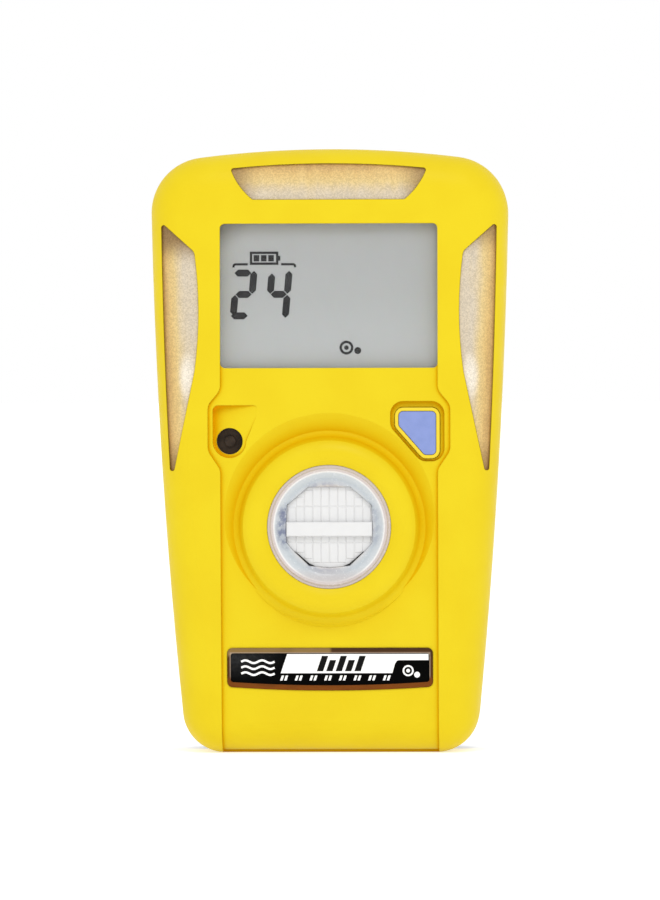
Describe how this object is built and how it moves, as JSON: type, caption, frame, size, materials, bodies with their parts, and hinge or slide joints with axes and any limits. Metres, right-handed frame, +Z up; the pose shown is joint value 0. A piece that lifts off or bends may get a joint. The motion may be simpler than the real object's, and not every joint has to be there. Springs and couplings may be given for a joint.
{
  "type": "portable gas detector",
  "caption": "Clip-on single-gas detector: rubbered case with light windows, display, sensor port, sounder port and push button, and a sprung clip behind.",
  "frame": {"origin": "middle of the bounding box in X and Y, at the height of the lowest face", "axes": "+Z up the case, +Y from the sensor ring to the clip, +X to the right seen from the front"},
  "size_m": [0.0514, 0.041, 0.087],
  "materials": {
    "yellow_overmould": "satin moulded elastomer",
    "window_shell": "translucent moulded polycarbonate",
    "label_amber": "translucent amber resin",
    "label_print": "printed film",
    "clear_pane": "clear",
    "lcd_glass": "liquid-crystal cell",
    "white_plastic": "moulded",
    "contact_rubber": "layered silicone",
    "tray_plastic": "moulded",
    "circuit_board": "solder-masked laminate",
    "chip_black": "moulded epoxy",
    "led_clear": "clear epoxy",
    "cell_can": "nickel-plated can",
    "nickel_strip": "nickel",
    "foam": "closed-cell foam",
    "motor_steel": "drawn can",
    "weight_tungsten": "sintered",
    "black_rubber": "moulded",
    "clear_grille": "clear polycarbonate",
    "filter_white": "membrane",
    "cell_plastic": "moulded",
    "gold_pin": "gold-plated",
    "sounder_brass": "brass",
    "vent_black": "sound-passing membrane",
    "key_yellow": "moulded",
    "key_blue": "moulded",
    "switch_plastic": "moulded",
    "rear_plastic": "fine spark-eroded texture",
    "silicone_seal": "silicone",
    "label_silver": "printed polyester film",
    "screw_steel": "zinc-plated",
    "brass_insert": "knurled",
    "clip_steel": "rolled stainless sheet",
    "spring_steel": "drawn wire"
  },
  "bodies": {
    "case": {"front_overmould": "yellow_overmould", "front_shell": "window_shell", "label_bezel": "label_amber", "front_label": "label_print", "display_window": "clear_pane", "display_glass": "lcd_glass", "display_backlight": "white_plastic", "display_connectors": "contact_rubber", "display_frame": "tray_plastic", "main_board": "circuit_board", "board_components": "chip_black", "alarm_leds": "led_clear", "battery": "cell_can", "battery_tabs": "nickel_strip", "battery_pad": "foam", "vibration_motor": "motor_steel", "motor_cradle": "black_rubber", "sensor_grille": "clear_grille", "sensor_filter": "filter_white", "sensor_gasket": "black_rubber", "sensor_cell": "cell_plastic", "sensor_pins": "gold_pin", "sensor_board": "circuit_board", "board_link": "chip_black", "sounder": "sounder_brass", "sounder_boot": "black_rubber", "sounder_vent": "vent_black", "switch_body": "switch_plastic", "rear_cover": "rear_plastic", "case_seal": "silicone_seal", "rear_label": "label_silver", "case_screws": "screw_steel", "screw_inserts": "brass_insert", "clip_base": "clip_steel", "clip_pin": "spring_steel", "clip_spring": "spring_steel", "clip_screw": "screw_steel"},
    "button": {"push_button": "key_yellow", "button_face": "key_blue", "switch_plunger": "white_plastic"},
    "motor_rotor": {"motor_shaft": "screw_steel", "motor_weight": "weight_tungsten"},
    "clip_lever": {"clip_lever": "clip_steel"}
  },
  "joints": [
    {"name": "button_press", "type": "slide", "parent": "case", "child": "button", "axis": [0, 1, 0], "range_m": [0, 0.0006], "stiffness_N_per_m": 500, "springref_m": -0.001},
    {"name": "clip_hinge", "type": "hinge", "parent": "case", "child": "clip_lever", "pos_m": [0, 0.0124, 0.056], "axis": [1, 0, 0], "range_deg": [0, 22], "stiffness_Nm_per_rad": 0.4, "springref_deg": -28.65, "deforming": ["clip_spring"]},
    {"name": "motor_spin", "type": "hinge", "parent": "case", "child": "motor_rotor", "pos_m": [0, -0.0065, 0.014], "axis": [1, 0, 0], "continuous": true}
  ]
}
